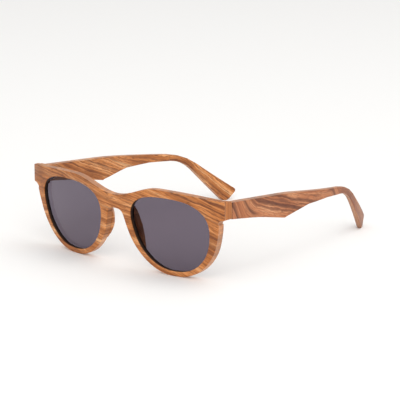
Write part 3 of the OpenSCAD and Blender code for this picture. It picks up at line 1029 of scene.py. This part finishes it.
    # Char on the burnt lens seats, and painted shade in the temples' joints and on the nose arch
    # walls
    colour = node(m, MIX, RGBA, _0=char_and_shade, _6=colour, _7=linear("#120D0B"))

    rough = node(
        m, RANGE, Value=patch["fibre"], From_Min=0.35, From_Max=0.65, To_Min=0.5, To_Max=0.38
    )
    relief = node(m, MATH, TIMES_PLUS, _0=pore, _1=-1.5, _2=patch["fibre"])
    bump = node(m, "ShaderNodeBump", Strength=0.35, Distance=0.06 * MM, Height=relief)
    shader = node(
        m, PRINCIPLED, Base_Color=colour, Roughness=rough, Normal=bump, Specular_IOR_Level=0.25,
        Coat_Weight=0.06, Coat_Roughness=0.3,
    )
    node(m, OUTPUT, Surface=shader)
    return m


def tinted_lens():
    """Grey tinted nylon lens, polished, with a coat that keeps its reflections low."""
    m = new_material("grey_tinted_lens")
    # The coat takes most of the reflection, so the IOR lies below nylon's 1.53
    shader = node(
        m, PRINCIPLED, Base_Color=linear("#726975"), Roughness=0.02, IOR=1.25,
        Specular_Tint=linear("#404040"), Transmission_Weight=1.0,
    )
    node(m, OUTPUT, Surface=shader)
    return m


def ground_edge():
    """Ground and blackened rim of a lens, which shuts out the light from its seat."""
    m = new_material("ground_lens_edge")
    shader = node(m, PRINCIPLED, Base_Color=linear("#0E0D0E"), Roughness=0.7)
    node(m, OUTPUT, Surface=shader)
    return m


def brushed_metal(name, code, roughness):
    """Plain hinge metal with a fine brushed or turned finish, that breaks its highlights
    into short streaks."""
    m = new_material(name)
    place = node(m, "ShaderNodeTexCoord").outputs["Object"]
    # Scratches 2 mm long and 0.1 mm wide, several times coarser than real ones
    scale = [1 / (mm * MM) for mm in (0.1, 2, 0.1)]
    place = node(m, "ShaderNodeVectorMath", TIMES, _0=place, _1=scale)
    streak = node(m, NOISE, Vector=place, Scale=1.0, Detail=1.0).outputs[0]
    rough = node(
        m, RANGE, Value=streak, From_Min=0.3, From_Max=0.7, To_Min=roughness - 0.06,
        To_Max=roughness + 0.08,
    )
    bump = node(m, "ShaderNodeBump", Strength=0.2, Distance=0.01 * MM, Height=streak)
    shader = node(
        m, PRINCIPLED, Base_Color=linear(code), Metallic=1.0, Roughness=rough, Normal=bump
    )
    node(m, OUTPUT, Surface=shader)
    return m


def wear(piece, *materials):
    """Gives a piece its materials in place of the CAD's. A piece made here has none yet,
    and clearing them would lose which of its faces takes which material."""
    if len(piece.data.materials):
        piece.data.materials.clear()
    for material in materials:
        piece.data.materials.append(material)
    return piece


# Assembly

# How steeply the figure falls: distance along the piece, degrees
FIGURE_SLANTS = {
    "front": [
        (-72, -20), (-56, 0), (-38, 16), (-10, 12), (8, 10), (26, 16), (42, 18), (55, 26),
        (72, 33),
    ],
    "left": [
        (-10, 58), (12, 52), (17, 35), (21, 14), (40, 12), (60, 11), (75, 6), (88, 0),
        (93, 55), (99, 55), (103, 3), (160, 0),
    ],
    "right": [(-10, 24), (60, 18), (100, 4), (160, 0)],
}
# Ground colours from dark to light
FRONT_TONES = ("#864C23", "#B46D36", "#D0884D", "#EDB57F")
TEMPLE_TONES = ("#935636", "#AE6B43", "#BE7C52", "#D0956A")
# Broad dark streaks, and broad painted shade: height among the rings, half width in millimetres,
# darkness
FRONT_HEARTS = [
    (33, 0.8, 0.4), (38.2, 0.6, 0.5), (42.7, 0.9, 0.5), (56.9, 0.8, 0.7), (60.3, 1.1, 0.7),
]
# Broad painted shade over the wearer's right end and brow, which lie away from the light
RIGHT_END_SHADE = [(32.5, 18, 0.25)]
RIGHT_BROW_SHADE = [(38, 27, 0.14)]
LEFT_END_HEARTS = [(51.2, 0.8, 0.55), (53.3, 0.7, 0.5)]
LEFT_RIM_HEARTS = [(41, 14, 0.4)]
BEND_HEARTS = [(30.4, 1.7, 0.7)]
# Broad painted shade over the left tip, which curves away from the light
LEFT_TIP_SHADE = [(38, 30, 0.38)]
RIGHT_TIP_HEARTS = [(28, 40, 0.16)]
ROOT_HEARTS = [(3.7, 1.6, 0.85), (13, 1.4, 0.8)]
FAN_HEARTS = [
    (17.5, 0.9, 0.7), (20.2, 1.7, 0.95), (22.6, 0.6, 0.65), (24.6, 1.2, 0.85), (27.8, 0.5, 0.5),
]
RIGHT_HEARTS = [
    (8, 1.0, 0.5), (13, 0.9, 0.45), (18.5, 1.2, 0.5), (24, 1.0, 0.45), (30, 1.0, 0.5),
]

LENS = tinted_lens()
LENS_EDGE = ground_edge()
FRONT_WOOD = figured_wood(
    "oiled_rosewood_front", seed=30.0, tones=FRONT_TONES, roll_mm=7.0, line_share=0.7,
    stretches=[
        (-80, 80, FRONT_HEARTS), (-80, -58, RIGHT_END_SHADE), (-80, -18, RIGHT_BROW_SHADE),
        (50, 80, LEFT_END_HEARTS), (54, 80, LEFT_RIM_HEARTS),
    ],
)
TEMPLE_WOOD = {
    "left": figured_wood(
        "oiled_rosewood_left", seed=55.0, tones=TEMPLE_TONES, roll_mm=3.0, line_share=0.5,
        stretches=[
            (-10, 22, ROOT_HEARTS), (14, 78, FAN_HEARTS), (88, 101, BEND_HEARTS),
            (102, 170, LEFT_TIP_SHADE),
        ],
    ),
    "right": figured_wood(
        "oiled_rosewood_right", seed=110.0, tones=FRONT_TONES, roll_mm=5.0, line_share=0.85,
        stretches=[(-10, 170, RIGHT_HEARTS), (104, 170, RIGHT_TIP_HEARTS)],
    ),
}
METALS = {
    "hinge_leaf": brushed_metal("brushed_steel", "#BDBBB7", 0.34),
    "hinge_slider": brushed_metal("drawn_steel", "#C4C2BF", 0.28),
    "spring_housing": brushed_metal("tumbled_steel", "#B4B2AF", 0.4),
    "leaf_screws": brushed_metal("turned_screw_steel", "#CFCDC9", 0.22),
    "spring_collar": brushed_metal("turned_brass", "#D9B36A", 0.25),
}
METALS["housing_screws"] = METALS["leaf_screws"]
METALS["pivot_screw"] = METALS["leaf_screws"]
SPRING_WIRE = brushed_metal("spring_wire_steel", "#9A999B", 0.26)

front = wear(smooth(grain_of_front(make_front())), FRONT_WOOD)
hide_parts("front_frame")
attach(front, "front")

for side_name, side in SIDES.items():
    lens = wear(smooth(make_lens("tinted_" + side_name, side)), LENS, LENS_EDGE)
    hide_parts("lens_" + side_name)
    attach(lens, "front")
    pad = make_nose_pad("pad_" + side_name, side)
    wear(smooth(grain_of_front(pad)), FRONT_WOOD)
    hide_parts("nose_pad_" + side_name)
    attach(pad, "front")
    temple = make_temple("arm_" + side_name, side)
    grain_of_temple(temple, side, FIGURE_SLANTS[side_name])
    wear(smooth(temple), TEMPLE_WOOD[side_name])
    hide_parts("temple_" + side_name)
    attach(temple, side_name + "_temple")

    spring = wear(smooth(make_spring("coil_" + side_name, side_name)), SPRING_WIRE)
    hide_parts("hinge_spring_" + side_name)
    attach(spring, side_name + "_slider")
    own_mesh(spring)

for name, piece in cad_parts.items():
    kind = name.rsplit("_", 1)[0]
    if kind in METALS:
        wear(piece, METALS[kind])
        piece.data.shade_smooth()
        piece.data.set_sharp_from_angle(angle=np.radians(35))
        soften(piece, HINGE_EDGE_R, segments=2)

# Stage


def make_floor():
    """A seamless pale table top, far wider than the picture."""
    m = new_material("white_table")
    shader = node(m, PRINCIPLED, Base_Color=linear("#FAF9F7"), Roughness=0.6)
    node(m, OUTPUT, Surface=shader)
    half = 4000 * MM
    mesh = bpy.data.meshes.new("table_top")
    corners = [(-half, -half, 0), (half, -half, 0), (half, half, 0), (-half, half, 0)]
    mesh.from_pydata(corners, [], [(0, 1, 2, 3)])
    mesh.materials.append(m)
    floor = bpy.data.objects.new("table_top", mesh)
    bpy.context.scene.collection.objects.link(floor)


def add_area(name, place, aim, size, power):
    """Hangs a round lamp at a place and turns it to its aim, in metres and watts."""
    light = bpy.data.lights.new(name, "AREA")
    light.shape = "DISK"
    light.size = size
    light.energy = power
    lamp = bpy.data.objects.new(name, light)
    lamp.location = place
    lamp.rotation_euler = (Vector(aim) - Vector(place)).to_track_quat("-Z", "Y").to_euler()
    bpy.context.scene.collection.objects.link(lamp)


def make_light():
    """A soft white studio, brighter on the wearer's left, with a wide lamp above and one
    in front."""
    scene = bpy.context.scene
    scene.view_settings.view_transform = "Standard"
    world = bpy.data.worlds.new("studio")
    world.use_nodes = True
    world.node_tree.nodes.clear()
    towards = node(world, "ShaderNodeTexCoord").outputs["Generated"]
    sideways = node(world, "ShaderNodeSeparateXYZ", Vector=towards).outputs["X"]
    glow = node(world, RANGE, Value=sideways, From_Min=-1.0, To_Min=0.5, To_Max=1.1)
    sky = node(world, "ShaderNodeBackground", Color=linear("#FFFFFF"), Strength=glow)
    node(world, "ShaderNodeOutputWorld", Surface=sky)
    scene.world = world
    add_area("overhead", place=(0.3, 0.1, 1.6), aim=(0, 0, 0), size=1.4, power=6)
    add_area("front", place=(0.95, -1.15, 0.9), aim=(0, 0, 0.02), size=1.6, power=12)


def make_camera():
    """Places the camera where the photograph was taken from."""
    camera = bpy.data.cameras.new("camera")
    camera.sensor_width = 36
    camera.lens = 180
    view = bpy.data.objects.new("camera", camera)
    view.location = np.array((716.55, -850.227, 299.73)) * MM
    ahead = Vector((-0.62893, 0.73887, -0.24191))
    view.rotation_euler = ahead.to_track_quat("-Z", "Y").to_euler()
    bpy.context.scene.collection.objects.link(view)
    bpy.context.scene.camera = view


make_floor()
make_light()
make_camera()
